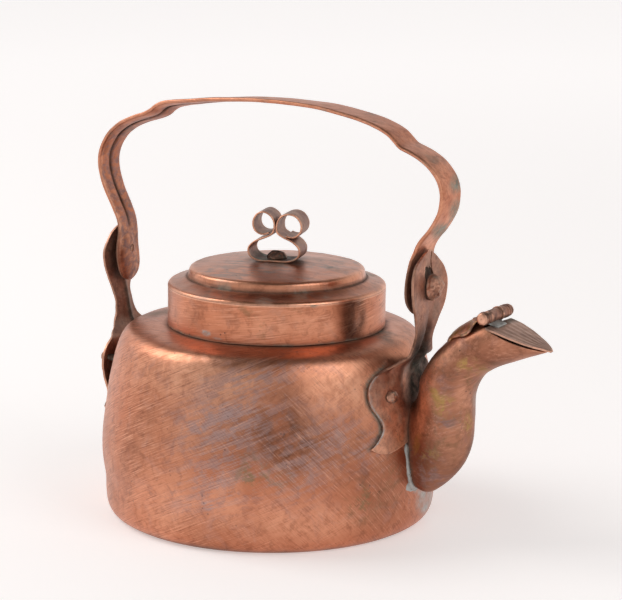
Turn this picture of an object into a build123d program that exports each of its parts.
from build123d import *
import math
import os
from types import SimpleNamespace

# Hand-raised copper kettle with a swinging strap bail, a lift-off lid with a
# scrolled knob and a hinged flap over the mouth of the spout.
# Units mm.  +Z up, +X (front) towards the spout, Z = 0 is the ground under the base.
# The bail's plane at rest is XZ; its pivots' axis is parallel to X.
# In the outline tables "near" is the -Y edge and "far" the +Y edge.

# ------------------------------------------------------- body, base and neck
sheet = 1.2                 # gauge of the body, base and spout sheet
wall = [                    # outside of the raised body, (radius, z)
    (81.6, 0.0), (85.2, 2.2), (87.2, 6.0), (88.0, 12.0), (88.2, 20.0),
    (89.9, 32.0), (89.7, 45.0), (88.0, 58.0), (86.1, 70.0), (84.1, 80.0),
    (82.2, 87.5), (80.6, 92.0), (78.6, 96.0), (75.8, 98.8), (70.0, 100.6),
    (62.5, 101.5), (50.0, 101.5),
]
base_r = 76.0               # disc let into the turned-in foot of the body
foot_outer_r = 82.4         # the foot is trimmed from here to the wall
neck_x = 3.5                # the hand-cut mouth sits a little towards the spout
neck_r = 55.6               # outside of the collar in the mouth
neck_t = 1.2
neck_z0, neck_z1 = 98.6, 115.0
spout_hole_x, spout_hole_z = 84.0, 50.0
spout_hole_half_z, spout_hole_half_y = 16.0, 6.8

# ----------------------------------------------------------------------- lid
lid_gap = 0.9               # between the collar and the lid's band
lid_band_t = 1.1
lid_r = neck_r + lid_gap + lid_band_t   # outside of the lid's band
lid_band_z0, lid_band_z1 = 101.8, 122.6
lid_ring_z = 124.4          # flat ring at the band's corner
dome_r = 46.4               # raised centre of the lid
dome_foot_z, dome_rim_z, dome_top_z = 127.6, 132.2, 135.6
lid_sheet = 1.0
crown_path = [              # outside of the raised top, rim to centre, (radius, z)
    (lid_r - 0.05, lid_band_z1 + 0.5), (lid_r - 0.6, lid_ring_z - 0.5),
    (lid_r - 2.2, lid_ring_z + 0.2), (lid_r - 5.0, lid_ring_z + 0.9),
    (dome_r + 3.6, dome_foot_z - 0.9), (dome_r + 1.3, dome_foot_z - 0.2),
    (dome_r + 0.45, dome_foot_z + 0.9), (dome_r + 0.1, dome_rim_z - 1.6),
    (dome_r - 0.8, dome_rim_z - 0.2), (dome_r - 3.0, dome_rim_z + 0.5),
    (dome_r * 0.62, dome_rim_z + 2.0), (dome_r * 0.3, dome_top_z - 0.35),
    (0.0, dome_top_z),
]

knob_turn = 17.0            # the scroll is set askew on the lid, degrees
knob_w = 16.0               # width of the scrolled strip
knob_t = 0.9
knob_path = [               # one strip, scroll to scroll, (along, z)
    (-3.5, 150.5), (-7.0, 150.3), (-10.3, 152.4), (-11.2, 156.4),
    (-9.2, 160.5), (-5.3, 162.0), (-1.7, 160.2), (0.2, 157.0), (0.3, 153.6),
    (-0.9, 150.7), (-5.0, 148.4), (-10.6, 145.9), (-13.6, 142.6),
    (-13.0, 139.0), (-9.0, 136.35), (0.0, 136.1), (9.0, 136.4),
    (13.2, 138.9), (14.0, 142.8), (11.0, 146.4), (5.2, 149.2), (2.3, 151.2),
    (1.6, 153.9), (2.3, 157.4), (4.5, 160.2), (8.4, 161.4), (12.5, 160.0),
    (15.0, 156.0), (14.4, 151.9), (11.0, 149.3), (7.6, 149.6),
]
knob_rivet_r = 2.0

# ---------------------------------------------------------------------- bail
pivot_z = 132.0             # height of the bail's pivots
pivot_r = 2.0               # pivot rivet shank
pivot_gap = 0.06            # radial running clearance of the bail on a rivet
bail_t = 2.0                # two thicknesses of sheet, edges folded in
bail_w_rear, bail_w_front = 16.5, 20.5
bail_taper_x = 115.0        # the two widths are reached at -x and +x of this
bail_upper_z = 149.0        # the tapered strap starts here, above the leaf ends
bail_path = [               # middle of the strap's thickness, (x, z)
    (-93.1, 113.0), (-93.1, 126.0), (-93.1, 136.0), (-93.2, 141.5),
    (-94.6, 148.0), (-97.5, 154.0), (-100.2, 159.2), (-103.2, 165.0),
    (-105.7, 171.8), (-106.7, 178.5), (-106.0, 184.6), (-103.3, 190.4),
    (-99.2, 195.5), (-94.4, 199.2), (-89.3, 201.9), (-83.0, 204.4),
    (-77.1, 206.2), (-72.2, 208.4), (-68.6, 211.1), (-64.9, 213.0),
    (-58.0, 214.6), (-48.9, 215.8), (-30.8, 218.0), (-13.1, 219.5),
    (4.3, 219.9), (21.5, 219.5), (38.5, 218.2), (55.2, 215.3),
    (63.5, 213.2), (71.0, 210.5), (75.2, 208.3), (78.6, 205.4),
    (81.8, 202.6), (87.0, 200.6), (91.6, 198.6), (96.2, 195.8),
    (100.6, 191.9), (104.0, 187.2), (105.8, 181.6), (105.8, 176.5),
    (104.9, 171.4), (102.3, 166.1), (98.8, 160.8), (95.0, 156.4),
    (92.2, 151.6), (90.9, 146.5), (90.7, 141.0), (90.7, 132.0),
    (90.7, 124.0), (90.7, 116.0),
]
# outlines of the bail's leaf ends, tip up, (distance from the middle line, z)
bail_rear_near = [
    (0.0, 113.9), (2.8, 114.4), (6.9, 116.8), (10.0, 122.1), (11.4, 127.5),
    (11.7, 132.3), (10.4, 138.8), (9.0, 144.6), (8.3, 149.2),
]
bail_rear_far = [
    (0.0, 113.9), (4.3, 115.4), (7.9, 118.7), (9.1, 122.9), (8.8, 128.0),
    (8.0, 133.0), (7.6, 139.6), (7.8, 145.0), (8.2, 149.2),
]
bail_front_near = [
    (0.0, 116.8), (7.6, 118.2), (13.0, 121.8), (16.0, 125.8), (17.0, 130.6),
    (16.3, 136.4), (14.4, 142.1), (12.2, 147.0), (11.0, 149.2),
]
bail_front_far = [
    (0.0, 116.8), (6.4, 118.0), (10.6, 121.4), (13.0, 125.8), (13.8, 130.6),
    (13.4, 136.4), (12.2, 142.1), (10.8, 147.0), (10.2, 149.2),
]

# ---------------------------------------------------------------------- ears
ear_t = 1.3                 # gauge of the two ears
ear_seat = 0.8              # middle of the ear's sheet outside the wall
foot_rivet_r = 2.0
# An ear's path is the middle of its sheet, (distance from the YZ plane, z).
# Its outlines are seen along X, (distance from the middle line, z).
front_plate_side = [        # side of the front plate, the same near and far
    (27.0, 86.8), (30.8, 83.0), (32.2, 78.4), (31.6, 73.2), (28.8, 68.4),
    (26.8, 64.4), (26.6, 60.6), (28.6, 57.2), (32.4, 53.6), (34.9, 52.0),
]
front_lower = [(31.4, 49.8), (25.2, 48.3), (19.2, 49.0), (13.6, 51.4), (0.0, 52.4)]
front = SimpleNamespace(
    side=1,
    path=[
        (87.6, 60.0), (86.9, 70.0), (85.8, 76.0), (85.0, 81.0), (84.3, 86.0),
        (85.2, 90.0), (88.2, 94.2), (90.6, 98.4), (92.6, 103.2), (94.3, 109.0),
        (94.9, 117.0), (94.9, 126.0), (94.9, 140.0), (94.9, 156.0),
    ],
    near=[
        (0.0, 150.6), (4.5, 149.6), (9.4, 147.2), (15.6, 143.6), (18.8, 139.2),
        (19.6, 134.2), (18.9, 127.8), (17.0, 122.5), (14.8, 119.0), (13.7, 115.6),
        (12.9, 111.3), (11.9, 105.2), (11.0, 100.6), (10.9, 96.4), (13.2, 92.9),
        (20.4, 89.9),
    ] + front_plate_side,
    far=[
        (0.0, 150.6), (4.3, 148.9), (8.5, 145.8), (14.0, 140.0), (16.5, 134.0),
        (16.7, 128.2), (15.4, 122.1), (12.5, 117.4), (8.8, 113.2), (6.6, 109.5),
        (6.4, 105.4), (8.6, 101.2), (12.4, 97.0), (17.0, 93.2), (22.4, 89.6),
    ] + front_plate_side,
    lower_near=front_lower,
    lower_far=front_lower,
    foot_rivets=[(-17.8, 76.2), (17.0, 75.5)],      # (y, z)
    wall_top_z=88.0,            # above this the plate no longer follows the wall in
    flat_plate=False,
    rise_z=(88.5, 97.0),        # the full width leaves the wall over these heights
    hug_y=(7.0, 17.0),          # below them the sheet returns to the wall over these
    grid_step=(2.15, 2.2),      # spacing of the surface points in y and z
    bail_x=abs(bail_path[-1][0]),
)
rear = SimpleNamespace(
    side=-1,
    path=[
        (88.6, 60.0), (87.1, 70.0), (86.2, 76.0), (86.2, 81.0), (87.2, 86.0),
        (90.6, 89.5), (93.2, 93.0), (94.6, 98.0), (95.6, 103.2), (97.0, 109.0),
        (97.7, 116.0), (97.7, 126.0), (97.7, 136.0), (97.7, 150.0),
    ],
    near=[
        (0.0, 146.2), (5.0, 144.6), (10.9, 140.4), (15.1, 133.4), (16.0, 128.0),
        (14.6, 121.8), (12.2, 115.8), (9.4, 110.3), (8.2, 105.6), (8.6, 100.8),
        (10.6, 95.8), (15.0, 91.2), (21.6, 88.0), (28.0, 85.2), (32.0, 81.6),
        (33.8, 76.8), (33.4, 72.0), (31.4, 67.4), (30.0, 63.6), (30.2, 59.8),
        (32.6, 56.4), (36.4, 53.4), (38.6, 52.0),
    ],
    far=[
        (0.0, 146.2), (4.6, 144.8), (9.6, 141.4), (13.0, 135.2), (13.6, 128.6),
        (12.4, 122.0), (9.6, 116.4), (6.4, 111.4), (5.2, 106.4), (6.0, 101.0),
        (7.9, 95.2), (11.4, 91.0), (17.6, 87.8), (23.0, 85.2), (26.6, 81.6),
        (28.0, 76.8), (27.4, 72.0), (25.2, 67.4), (23.4, 63.6), (23.2, 59.8),
        (25.2, 56.4), (28.6, 53.4), (30.6, 52.0),
    ],
    lower_near=[
        (35.0, 49.8), (28.6, 48.3), (22.4, 49.0), (16.6, 51.4), (10.6, 55.0),
        (5.6, 59.6), (2.5, 61.0),
    ],
    lower_far=[
        (27.2, 49.8), (21.0, 48.3), (15.0, 49.0), (9.4, 51.4), (3.6, 55.0),
        (-1.0, 59.6), (-2.5, 61.0),
    ],
    foot_rivets=[(-29.0, 77.0), (24.0, 76.0)],
    wall_top_z=96.0,
    flat_plate=True,
    rise_z=(90.6, 95.0),
    hug_y=(17.0, 32.0),
    grid_step=(3.44, 3.4),
    bail_x=abs(bail_path[0][0]),
)
fork = [                    # gap in the front ear for the spout's root, as the outlines
    (0.0, 76.8), (2.8, 76.0), (5.4, 73.2), (6.8, 69.6), (8.0, 65.6), (8.9, 61.2),
    (9.6, 56.6), (9.9, 51.6), (9.9, 46.0), (9.6, 40.0),
]

# --------------------------------------------------------------------- spout
spout_sections = [          # oval sections along the centre line
    # (x, z, direction of the section's normal in degrees, half depth, half width)
    (76.0, 46.4, 24.0, 19.4, 8.4),
    (92.6, 47.2, 12.2, 23.8, 9.6),
    (100.2, 55.1, 19.0, 25.1, 12.0),
    (105.9, 65.0, 35.7, 22.7, 13.7),
    (107.6, 75.7, 51.0, 18.0, 14.3),
    (110.1, 87.0, 54.6, 14.3, 14.2),
    (116.5, 96.6, 50.4, 12.6, 13.9),
    (123.7, 103.0, 43.6, 12.9, 13.5),
    (134.0, 108.4, 38.0, 13.0, 13.4),
    (147.0, 113.5, 28.7, 12.5, 12.2),
    (160.0, 117.5, 16.0, 11.4, 9.0),
]
mouth_top = (124.5, 119.9)  # the mouth is cut from the hinge down to the beak, (x, z)
mouth_beak = (160.0, 107.0)
solder_grow = 1.7           # reach of the solder out from the spout
solder_rise = 1.5           # and out from the wall

# ------------------------------------------------------------ flap and hinge
hinge_x, hinge_z = 133.0, 121.9
barrel_r = 3.2
barrel_half = 13.8
pin_r = 1.9
pin_gap = 0.05
knuckle_gap = 0.1
flap_knuckle_y = (-8.5, 1.9)
near_knuckle_y = (-barrel_half, flap_knuckle_y[0] - knuckle_gap)
far_knuckle_y = (flap_knuckle_y[1] + knuckle_gap, barrel_half)
hinge_strap_t, hinge_strap_w = 1.2, 22.0
hinge_strap_path = [        # (x, z)
    (109.6, 108.9), (114.0, 113.1), (118.0, 116.0), (122.5, 118.6),
    (126.5, 120.4), (130.3, 121.6),
]
hinge_tab_x = 122.5
spout_clear = 0.02          # hinge strap off the spout
flap_t = 1.0
flap_path = [               # (x, z)
    (134.6, 117.45), (140.0, 116.0), (148.0, 113.2), (156.0, 110.3),
    (161.5, 108.4), (164.9, 106.9),
]
flap_plan = [               # half outline of the flap from above, (x, y)
    (126.0, 12.2), (131.0, 13.6), (136.0, 14.2), (142.0, 13.8), (148.0, 12.2),
    (154.0, 9.4), (159.0, 6.2), (163.0, 2.8), (165.0, 0.0),
]


# ------------------------------------------------------------------- helpers
def offset_points(points, distance):
    """Each point moved along the path's left-hand normal."""
    moved = []
    for i, (x, z) in enumerate(points):
        before = points[max(i - 1, 0)]
        after = points[min(i + 1, len(points) - 1)]
        run, rise = after[0] - before[0], after[1] - before[1]
        length = math.hypot(run, rise)
        moved.append((x - rise / length * distance, z + run / length * distance))
    return moved


def xz_vectors(points):
    return [Vector(x, 0, z) for x, z in points]


def strip_face(points, low, high):
    """Face in the XZ plane between two offsets of a path."""
    a = xz_vectors(offset_points(points, low))
    b = xz_vectors(offset_points(points, high))
    return make_face([Spline(*a), Line(a[-1], b[-1]), Spline(*b), Line(b[0], a[0])])


def band(points, thickness, half_width):
    """Sheet centred on a path in the XZ plane, +-half_width in Y."""
    face = strip_face(points, -thickness / 2, thickness / 2)
    return extrude(face, amount=half_width, dir=(0, 1, 0), both=True)


def outline_prism(curves, x0, x1):
    """Prism from x0 to x1 on an outline of splines, each (points, sign of y)."""
    paths = [[Vector(x0, sign * y, z) for y, z in points] for points, sign in curves]
    edges = [Spline(*path) for path in paths]
    end_a, end_b = paths[-2][-1], paths[-1][-1]
    if (end_a - end_b).length > 1e-6:
        edges.append(Line(end_a, end_b))
    return extrude(make_face(edges), amount=abs(x1 - x0), dir=(math.copysign(1, x1 - x0), 0, 0))


def ring(x, inner_r, outer_r, z0, z1):
    centre = Pos(x, 0, (z0 + z1) / 2)
    return centre * Cylinder(outer_r, z1 - z0) - centre * Cylinder(inner_r, z1 - z0 + 2)


def pivot_cylinder(radius, x0, x1):
    """Cylinder on the bail's pivot axis."""
    return Pos((x0 + x1) / 2, 0, pivot_z) * Rot(0, 90, 0) * Cylinder(radius, abs(x1 - x0))


def hinge_cylinder(radius, y0, y1):
    """Cylinder on the flap's hinge axis."""
    return Pos(hinge_x, (y0 + y1) / 2, hinge_z) * Rot(90, 0, 0) * Cylinder(radius, abs(y1 - y0))


def dome_head(radius, height, rim=0.5):
    """Low domed rivet head sitting on z = 0."""
    dome = [(0, height), (radius * 0.45, height * 0.93), (radius * 0.82, height * 0.62),
            (radius, rim)]
    face = make_face([
        Spline(*xz_vectors(dome)), Line((radius, 0, rim), (radius, 0, 0)),
        Line((radius, 0, 0), (0, 0, 0)), Line((0, 0, 0), (0, 0, height))])
    return revolve(face, axis=Axis.Z)


def largest(shape):
    return max(shape.solids(), key=lambda solid: solid.volume)


def with_mirror(half):
    return half + half.mirror(Plane.XZ)


def save(shape, node):
    """Write a piece without the slivers its booleans may leave."""
    parts = [solid for solid in shape.solids() if solid.volume > 0.05]
    shape = parts[0] if len(parts) == 1 else Compound(children=parts)
    shape.label = node
    export_step(shape, "parts/%s.step" % node)


# ---------------------------------------------------------- surface of an ear
def wall_radius(z):
    """Outside radius of the body at a height."""
    for (r0, z0), (r1, z1) in zip(wall, wall[1:]):
        if z0 <= z <= z1:
            return r0 + (r1 - r0) * (z - z0) / (z1 - z0)
    return wall[-1][0]


def smooth(start, end, value):
    """Smooth step from 0 at start to 1 at end."""
    t = min(max((value - start) / (end - start), 0.0), 1.0)
    return t * t * (3 - 2 * t)


def read_path(path, z):
    """Read x off an ear's path at a height, by cubic Hermite interpolation."""
    if z <= path[0][1]:
        return path[0][0]
    for k in range(len(path) - 1):
        (x0, z0), (x1, z1) = path[k], path[k + 1]
        if z0 <= z <= z1:
            x_before, z_before = path[max(k - 1, 0)]
            x_after, z_after = path[min(k + 2, len(path) - 1)]
            slope0 = (x1 - x_before) / (z1 - z_before)
            slope1 = (x_after - x0) / (z_after - z0)
            h = z1 - z0
            t = (z - z0) / h
            return ((2 * t ** 3 - 3 * t ** 2 + 1) * x0 + (t ** 3 - 2 * t ** 2 + t) * h * slope0
                    + (-2 * t ** 3 + 3 * t ** 2) * x1 + (t ** 3 - t ** 2) * h * slope1)
    return path[-1][0]


def ear_x(ear, y, z):
    """Middle of an ear's sheet, distance from the YZ plane: hugs the wall, folds
    up the stem and opens into the hammered leaf."""
    radius = wall_radius(min(z, ear.wall_top_z)) + ear_seat
    on_wall = math.sqrt(radius * radius - y * y)
    if ear.flat_plate:          # nearly flat, its tips bent to the wall
        flat = read_path(ear.path, min(z, 80.0))
        blend = smooth(54.0, 66.0, z)
        on_wall = on_wall * (1 - blend) + max(flat, on_wall) * blend
    lift = max(smooth(*ear.rise_z, z), 1 - smooth(*ear.hug_y, abs(y))) * smooth(77.0, 85.0, z)
    x = on_wall * (1 - lift) + read_path(ear.path, z) * lift
    # the stem is folded along its middle line, the leaf slightly dished
    stem = smooth(84.0, 93.0, z) * (1 - smooth(108.0, 122.0, z))
    x += stem * (1.7 * (1 - math.exp(-(y / 4.2) ** 2)) - 1.2)
    leaf = smooth(112.0, 124.0, z)
    x += leaf * (0.9 * (y / 13.0) ** 2 - 0.45)
    return x


def on_ear(ear, y, z):
    """Frame on the middle of an ear's sheet, Z out of the kettle, and the depths
    below it of the wall's outside and inside."""
    x = ear_x(ear, y, z)
    slope_y = (ear_x(ear, y + 1, z) - ear_x(ear, y - 1, z)) / 2
    slope_z = (ear_x(ear, y, z + 1) - ear_x(ear, y, z - 1)) / 2
    normal = Vector(ear.side, -slope_y, -slope_z).normalized()
    depth, outside, inside = 0.0, None, None
    while inside is None:
        point = Vector(ear.side * x, y, z) - normal * depth
        radius = math.hypot(point.X, point.Y)
        if outside is None and radius < wall_radius(point.Z):
            outside = depth
        if radius < wall_radius(point.Z) - sheet:
            inside = depth
        depth += 0.05
    frame = Plane(origin=(ear.side * x, y, z), z_dir=normal, x_dir=(0, 0, 1))
    return frame, outside, inside


# ------------------------------------------------------------ body and collar
def grown_body(grow):
    """The body filled solid, its outside moved out by grow."""
    points = offset_points(wall, -grow)
    (foot_r, foot_z), (deck_r, deck_z) = points[0], points[-1]
    return revolve(make_face([
        Spline(*xz_vectors(points)),
        Line((deck_r, 0, deck_z), (0, 0, deck_z)),
        Line((0, 0, deck_z), (0, 0, foot_z)),
        Line((0, 0, foot_z), (foot_r, 0, foot_z))]), axis=Axis.Z)


def kettle_body(skin, body_solid):
    """Raised sheet: turned-in foot, wall, shoulder and deck with the mouth cut."""
    foot = ring(0, base_r, foot_outer_r, 0.0, sheet) & body_solid
    body = skin + foot
    body = body - Pos(neck_x, 0, 100) * Cylinder(neck_r, 12)
    # opening behind the spout, smaller than its root
    hole = extrude(Ellipse(spout_hole_half_z, spout_hole_half_y), amount=12, both=True)
    body = body - (Pos(spout_hole_x, 0, spout_hole_z) * Rot(0, 90, 0) * hole)
    for ear in (front, rear):
        for y, z in ear.foot_rivets:
            frame, outside, inside = on_ear(ear, y, z)
            body = body - frame * Pos(0, 0, -(outside + inside) / 2) * Cylinder(foot_rivet_r, 6)
    return body


# --------------------------------------------------------------------- spout
def spout_half(grow, side):
    """Half of the solid horn, on one side of its plane of symmetry."""
    rings = []
    for x, z, degrees, half_depth, half_width in spout_sections:
        tilt = math.radians(degrees)
        across_x, across_z = -math.sin(tilt), math.cos(tilt)
        points = []
        for k in range(7):
            angle = math.pi * k / 6
            across = (half_depth + grow) * math.cos(angle)
            y = side * (half_width + grow) * math.sin(angle)
            points.append(Vector(x + across_x * across, y, z + across_z * across))
        arc = Edge.make_spline(points, tangents=[Vector(0, side, 0), Vector(0, -side, 0)])
        rings.append(Wire([arc, Edge.make_line(points[-1], points[0])]))
    return Solid.make_loft(rings)


def less_spout(shape):
    return shape - spout_half(spout_clear, 1) - spout_half(spout_clear, -1)


def spout(body_solid):
    run, rise = mouth_beak[0] - mouth_top[0], mouth_beak[1] - mouth_top[1]
    cut_plane = Plane(origin=(mouth_top[0], 0, mouth_top[1]), x_dir=(run, 0, rise),
                      z_dir=(-rise, 0, run))
    above_mouth = cut_plane * Pos(10, 0, 40) * Box(180, 120, 80)
    half = spout_half(0.0, 1) - spout_half(-sheet, 1) - body_solid - above_mouth
    return with_mirror(largest(half))


def spout_solder(body_solid):
    """Bead round the spout's root, cleared where the front ear's plate lies."""
    bead = spout_half(solder_grow, 1) - spout_half(0.0, 1)
    bead = bead & (grown_body(solder_rise) - body_solid)
    bead = bead & (Pos(90, 0, 33) * Box(60, 80, 36))
    bead = with_mirror(bead)
    plate = [(0.0, 95.0)] + front_plate_side + front_lower
    plate_prism = outline_prism([(plate, 1), (plate, -1)], 20, 120)
    return bead - (grown_body(0.3 + ear_t) & plate_prism)


# ---------------------------------------------------------- ears and rivets
def ear_piece(ear):
    side = ear.side
    step_y, step_z = ear.grid_step
    ys = [-43.0 + step_y * k for k in range(int(86 / step_y) + 1)]
    zs = [44.0 + step_z * k for k in range(int(112.2 / step_z) + 1)]
    grid = [[Vector(side * (ear_x(ear, y, z) - ear_t / 2), y, z) for z in zs] for y in ys]
    surface = Face.make_surface_from_array_of_points(grid, tol=0.02)
    piece = extrude(surface, amount=ear_t, dir=(side, 0, 0))
    outline = [
        (ear.far, 1), (ear.near, -1),
        ([ear.far[-1]] + ear.lower_far, 1), ([ear.near[-1]] + ear.lower_near, -1)]
    piece = piece & outline_prism(outline, 0, side * 130)
    if ear is front:            # the plate forks round the root of the spout
        piece = piece - outline_prism([(fork, 1), (fork, -1)], 60, 120)
    piece = largest(piece - grown_body(0.04))
    piece = piece - pivot_cylinder(pivot_r, side * 80, side * 120)
    for y, z in ear.foot_rivets:
        piece = piece - on_ear(ear, y, z)[0] * Cylinder(foot_rivet_r, 6)
    if ear is front:            # the leaf is split down from its tip to the pivot
        piece = piece - Pos(ear.path[-1][0], 0.6, 146.5) * Box(8, 0.7, 14)
    return piece


def foot_rivets(ear, piece, skin):
    """Rivets through an ear's plate and the wall: head outside, burr inside."""
    rivets = []
    for y, z in ear.foot_rivets:
        frame, _, inside = on_ear(ear, y, z)
        top = ear_t / 2 + 0.05
        shank = (frame * Pos(0, 0, (top + 0.8 - inside - 0.9) / 2)
                 * Cylinder(foot_rivet_r, top + 0.8 + inside + 0.9))
        head = frame * Pos(0, 0, top) * dome_head(3.8, 2.9)
        burr = frame * Pos(0, 0, -inside - 0.35) * Rot(180, 0, 0) * dome_head(3.2, 1.4, 0.3)
        head = head - piece
        rivets.append(shank + head + (burr - skin))
    return Compound(children=rivets)


def pivot_rivet(ear):
    """Shank along X from inside the bail's leaf to outside the ear's leaf."""
    side = ear.side
    inner = ear.bail_x - bail_t / 2 - 0.15
    outer = ear.path[-1][0] + ear_t / 2
    shank = pivot_cylinder(pivot_r, side * (inner - 1.0), side * (outer + 1.0))
    head = Pos(side * outer, 0, pivot_z) * Rot(0, side * 90, 0) * dome_head(3.9, 2.9, 0.9)
    back = Pos(side * inner, 0, pivot_z) * Rot(0, -side * 90, 0) * dome_head(3.4, 1.6, 0.4)
    return shank + head + back


def bail_handle():
    strap = band(bail_path, bail_t, 20)
    plan = make_face(Polyline(
        (-bail_taper_x, -bail_w_rear / 2, 0), (bail_taper_x, -bail_w_front / 2, 0),
        (bail_taper_x, bail_w_front / 2, 0), (-bail_taper_x, bail_w_rear / 2, 0), close=True))
    upper = strap & Pos(0, 0, bail_upper_z) * extrude(plan, amount=120, dir=(0, 0, 1))
    rear_leaf = strap & outline_prism([(bail_rear_near, -1), (bail_rear_far, 1)], -60, -110)
    front_leaf = strap & outline_prism([(bail_front_near, -1), (bail_front_far, 1)], 60, 110)
    bail = upper + rear_leaf + front_leaf
    # groove of the folded edges along the inside of the strap
    groove_face = strip_face(bail_path, -bail_t / 2 - 0.3, -bail_t / 2 + 0.7)
    groove = extrude(groove_face, amount=0.25, dir=(0, 1, 0), both=True)
    bail = bail - (groove & (Pos(0, 0, 200) * Box(240, 10, 92)))
    return bail - pivot_cylinder(pivot_r + pivot_gap, -120, 120)


# ----------------------------------------------------------------------- lid
def lid_crown():
    """Raised top: rolled corner, flat ring, step and low dome."""
    inner_r = lid_r - lid_band_t
    outer = xz_vectors(crown_path)
    inner_path = offset_points(crown_path, lid_sheet)
    inner_path[-1] = (0.0, dome_top_z - lid_sheet)
    inner_path[0] = (inner_r, lid_band_z1 + 0.4)
    inner = xz_vectors(inner_path)
    face = make_face([
        Spline(*outer), Line(outer[-1], inner[-1]), Spline(*inner),
        Line(inner[0], (inner_r, 0, lid_band_z1)),
        Line((inner_r, 0, lid_band_z1), (lid_r - 0.02, 0, lid_band_z1)),
        Line((lid_r - 0.02, 0, lid_band_z1), outer[0])])
    crown = Pos(neck_x, 0, 0) * revolve(face, axis=Axis.Z)
    return crown - Pos(neck_x, 0, 134) * Cylinder(knob_rivet_r, 12)


def lid_knob():
    knob = Pos(neck_x, 0, 0) * Rot(0, 0, knob_turn) * band(knob_path, knob_t, knob_w / 2)
    knob = knob - Pos(neck_x, 0, 136.4) * Cylinder(knob_rivet_r, 4)
    # trim away whatever dips below the crown's outside
    outer = xz_vectors(crown_path)
    floor_centre, floor_rim = (0, 0, 120), (crown_path[0][0], 0, 120)
    under_crown = revolve(make_face([
        Spline(*outer), Line(outer[-1], floor_centre), Line(floor_centre, floor_rim),
        Line(floor_rim, outer[0])]), axis=Axis.Z)
    return largest(knob - Pos(neck_x, 0, 0) * under_crown)


def knob_rivet():
    rivet = Pos(neck_x, 0, dome_top_z) * Cylinder(knob_rivet_r, 4.6)
    rivet = rivet + Pos(neck_x, 0, dome_top_z + 1.0) * dome_head(4.6, 3.0, 1.2)
    back = Pos(neck_x, 0, dome_top_z - lid_sheet - 0.14) * Rot(180, 0, 0)
    return rivet + back * dome_head(3.8, 1.3, 0.3)


# ------------------------------------------------------- flap and its hinge
def hinge_tab(y0, y1):
    """Flat tab from the strap to a knuckle."""
    centre = Pos((hinge_tab_x + hinge_x) / 2, (y0 + y1) / 2, hinge_z - 0.5)
    return centre * Box(hinge_x - hinge_tab_x, y1 - y0, hinge_strap_t)


def spout_hinge_strap():
    strap = band(hinge_strap_path, hinge_strap_t, 40)
    strap = strap & (Pos(118, 0, 116) * Box(60, hinge_strap_w, 30))
    strap = largest(less_spout(strap))
    strap = strap - hinge_cylinder(barrel_r + 0.05, -20, 20)
    knuckles = hinge_cylinder(barrel_r, *near_knuckle_y) + hinge_cylinder(barrel_r, *far_knuckle_y)
    tabs = (hinge_tab(near_knuckle_y[0] + 1, near_knuckle_y[1])
            + hinge_tab(far_knuckle_y[0], far_knuckle_y[1] - 2.8))
    shoulder = hinge_cylinder(barrel_r + 0.5, far_knuckle_y[0], far_knuckle_y[0] + 1.6)
    fixed = strap + tabs + knuckles + shoulder
    fixed = less_spout(fixed - hinge_cylinder(pin_r, -20, 20))
    # room for the flap's knuckle
    return fixed - hinge_cylinder(barrel_r + 0.25, flap_knuckle_y[0] - 0.08,
                                  flap_knuckle_y[1] + 0.08)


def flap_pin():
    pin = hinge_cylinder(pin_r, -barrel_half - 0.6, barrel_half + 0.6)
    for side, head_r in ((-1, 3.1), (1, 3.0)):
        seat = Pos(hinge_x, side * barrel_half, hinge_z) * Rot(-side * 90, 0, 0)
        pin = pin + seat * dome_head(head_r, 0.9, 0.6)
    return pin


def flap_leaf():
    far_edge = [Vector(x, y, 60) for x, y in flap_plan]
    near_edge = [Vector(x, -y, 60) for x, y in flap_plan]
    plan = make_face([Spline(*far_edge), Spline(*near_edge), Line(far_edge[0], near_edge[0])])
    leaf = band(flap_path, flap_t, 30) & extrude(plan, amount=100, dir=(0, 0, 1))
    # clear the fixed knuckles
    leaf = leaf - hinge_cylinder(barrel_r + 0.3, near_knuckle_y[0] - 3, near_knuckle_y[1] + 0.05)
    return leaf - hinge_cylinder(barrel_r + 0.9, far_knuckle_y[0] - 0.05, far_knuckle_y[1] + 3)


def flap_knuckle(leaf):
    y0, y1 = flap_knuckle_y
    bore = hinge_cylinder(pin_r + pin_gap, -20, 20)
    knuckle = hinge_cylinder(barrel_r, y0, y1) - bore
    tab = Pos(hinge_x + 1.4, (y0 + y1) / 2, hinge_z - 3.1) * Box(3.4, y1 - y0, 2.6)
    tab = tab - bore - leaf
    return largest(knuckle + tab)


# ---------------------------------------------------------------- all pieces
def main():
    os.makedirs("parts", exist_ok=True)
    body_solid = grown_body(0.0)
    skin = revolve(strip_face(wall, 0.0, sheet), axis=Axis.Z)
    save(kettle_body(skin, body_solid), "kettle_body")
    save(Pos(0, 0, sheet / 2) * Cylinder(base_r, sheet), "base_plate")
    save(ring(neck_x, neck_r - neck_t, neck_r, neck_z0, neck_z1), "neck_collar")
    save(spout(body_solid), "spout")
    save(spout_solder(body_solid), "spout_solder")
    for name, ear in (("front", front), ("rear", rear)):
        piece = ear_piece(ear)
        save(piece, name + "_ear")
        save(foot_rivets(ear, piece, skin), name + "_ear_rivets")
        save(pivot_rivet(ear), name + "_pivot")
    save(bail_handle(), "bail_handle")
    save(ring(neck_x, lid_r - lid_band_t, lid_r, lid_band_z0, lid_band_z1), "lid_band")
    save(lid_crown(), "lid_crown")
    save(lid_knob(), "lid_knob")
    save(knob_rivet(), "knob_rivet")
    save(spout_hinge_strap(), "spout_hinge_strap")
    save(flap_pin(), "flap_pin")
    leaf = flap_leaf()
    save(leaf, "flap_leaf")
    save(flap_knuckle(leaf), "flap_knuckle")


main()
